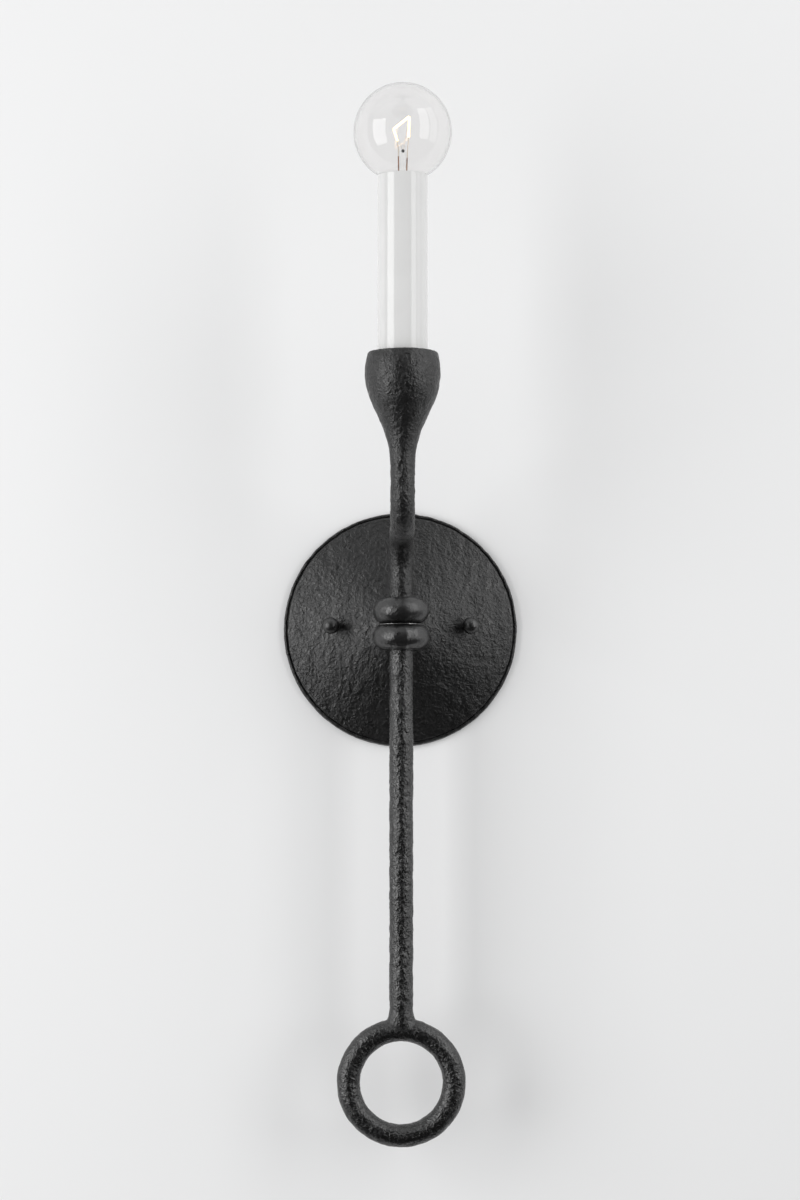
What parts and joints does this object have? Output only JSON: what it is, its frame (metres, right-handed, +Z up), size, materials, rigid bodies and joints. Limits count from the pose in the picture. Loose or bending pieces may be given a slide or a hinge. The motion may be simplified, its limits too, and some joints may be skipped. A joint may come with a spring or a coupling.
{
  "type": "torch sconce",
  "caption": "Black iron wall torch: round conical backplate, upright rod ending in a ring, forward-bent neck, flared cup, white candle sleeve and clear globe bulb.",
  "frame": {"origin": "middle of the round backplate, on the wall plane", "axes": "+Z up along the rod and the candle sleeve, +Y into the wall, +X right as the room sees it"},
  "size_m": [0.127, 0.1202, 0.5525],
  "materials": {
    "black_iron": "satin black over a hammered, pitted skin",
    "zinc_steel": "bright zinc",
    "brass": "stamped brass",
    "green_screw": "green dyed ground screw",
    "socket_moulding": "black moulding",
    "fibre_liner": "dark fibre tube",
    "sleeve_white": "glossy white",
    "bulb_glass": "clear thin glass",
    "stem_glass": "clear glass rod",
    "bulb_wire": "thin drawn wire, browned",
    "filament": "glowing wire",
    "base_insulator": "black glass insulator",
    "solder": "dull solder",
    "lead_black": "black insulation",
    "lead_white": "white insulation",
    "bare_copper": "bare drawn copper",
    "wire_nut_shell": "orange moulding"
  },
  "bodies": {
    "fixture": {"backplate": "black_iron", "collar_core": "black_iron", "collar_upper_ring": "black_iron", "collar_lower_ring": "black_iron", "lower_rod": "black_iron", "bottom_ring": "black_iron", "neck_tube": "black_iron", "torch_cup": "black_iron", "mounting_strap": "zinc_steel", "mounting_studs": "zinc_steel", "stud_nuts": "zinc_steel", "back_nipple": "zinc_steel", "back_nut": "zinc_steel", "back_lock_washer": "zinc_steel", "back_flat_washer": "zinc_steel", "cup_nipple": "zinc_steel", "cup_nut": "zinc_steel", "socket_bracket": "zinc_steel", "socket_shell": "brass", "socket_contact": "brass", "socket_rivet": "brass", "ground_screw": "green_screw", "socket_body": "socket_moulding", "socket_liner": "fibre_liner", "lead_black": "lead_black", "lead_white": "lead_white", "ground_wire": "bare_copper", "wire_nuts": "wire_nut_shell"},
    "knob_left": {"knob_left": "black_iron"},
    "knob_right": {"knob_right": "black_iron"},
    "sleeve": {"candle_sleeve": "sleeve_white"},
    "bulb_tip": {"bulb_tip": "solder"},
    "bulb": {"bulb_globe": "bulb_glass", "bulb_stem": "stem_glass", "bulb_leads": "bulb_wire", "bulb_filament": "filament", "bulb_base": "brass", "bulb_insulator": "base_insulator"}
  },
  "joints": [
    {"name": "knob_left_off", "type": "slide", "parent": "fixture", "child": "knob_left", "axis": [0, -1, 0], "range_m": [0, 0.009]},
    {"name": "knob_right_off", "type": "slide", "parent": "fixture", "child": "knob_right", "axis": [0, -1, 0], "range_m": [0, 0.009]},
    {"name": "sleeve_turn", "type": "hinge", "parent": "fixture", "child": "sleeve", "pos_m": [0, -0.095, 0.178], "axis": [0, 0, 1], "continuous": true},
    {"name": "bulb_rise", "type": "slide", "parent": "fixture", "child": "bulb_tip", "axis": [0, 0, 1], "range_m": [0, 0.0128]},
    {"name": "bulb_turn", "type": "hinge", "parent": "bulb_tip", "child": "bulb", "pos_m": [0, -0.095, 0.2], "axis": [0, 0, 1], "range_deg": [0, 1800]}
  ],
  "couplings": [
    {"joint": "bulb_rise", "follows": "bulb_turn", "m_per_rad": 0.00040425}
  ]
}
